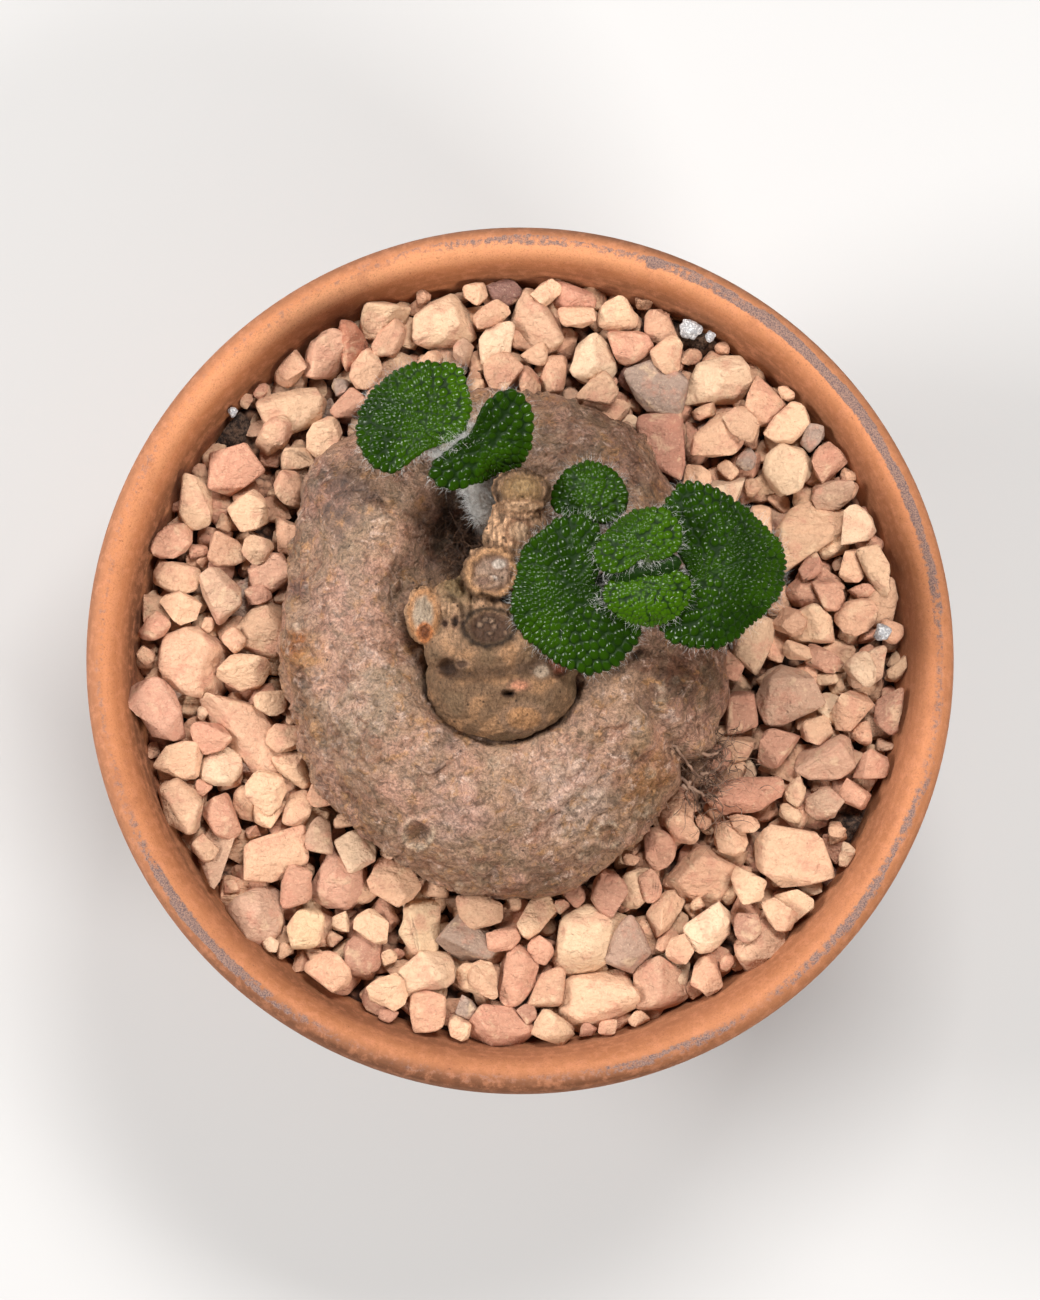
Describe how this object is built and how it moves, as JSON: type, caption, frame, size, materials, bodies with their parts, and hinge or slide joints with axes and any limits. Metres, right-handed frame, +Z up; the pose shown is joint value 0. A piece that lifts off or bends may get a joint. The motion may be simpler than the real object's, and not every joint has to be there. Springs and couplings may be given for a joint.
{
  "type": "potted sinningia bullata",
  "caption": "Clay bulb pan topped with crushed gravel, holding a flattened woody tuber with a scarred crown in its sunken middle and short woolly shoots of blistered green leaves.",
  "frame": {"origin": "centre of the pan's foot, on the surface that it stands on", "axes": "+Z up; +X to the right and +Y to the back as the plant is looked at from above, with the swollen foot of the crown towards the viewer"},
  "size_m": [0.21, 0.21, 0.1574],
  "materials": {
    "clay": "matte",
    "soil": "matte",
    "gravel": "matte",
    "bark": "matte",
    "wool": "matte",
    "leaf": "gloss"
  },
  "bodies": {
    "root": {"pan": "clay", "soil": "soil", "gravel": "gravel", "tuber": "bark", "left_stem": "wool", "right_stem": "wool", "left_leaf_large": "leaf", "left_leaf_folded": "leaf", "right_leaf_small": "leaf", "right_leaf_near": "leaf", "right_leaf_far": "leaf", "right_leaf_young_back": "leaf", "right_leaf_young_front": "leaf"}
  },
  "joints": []
}
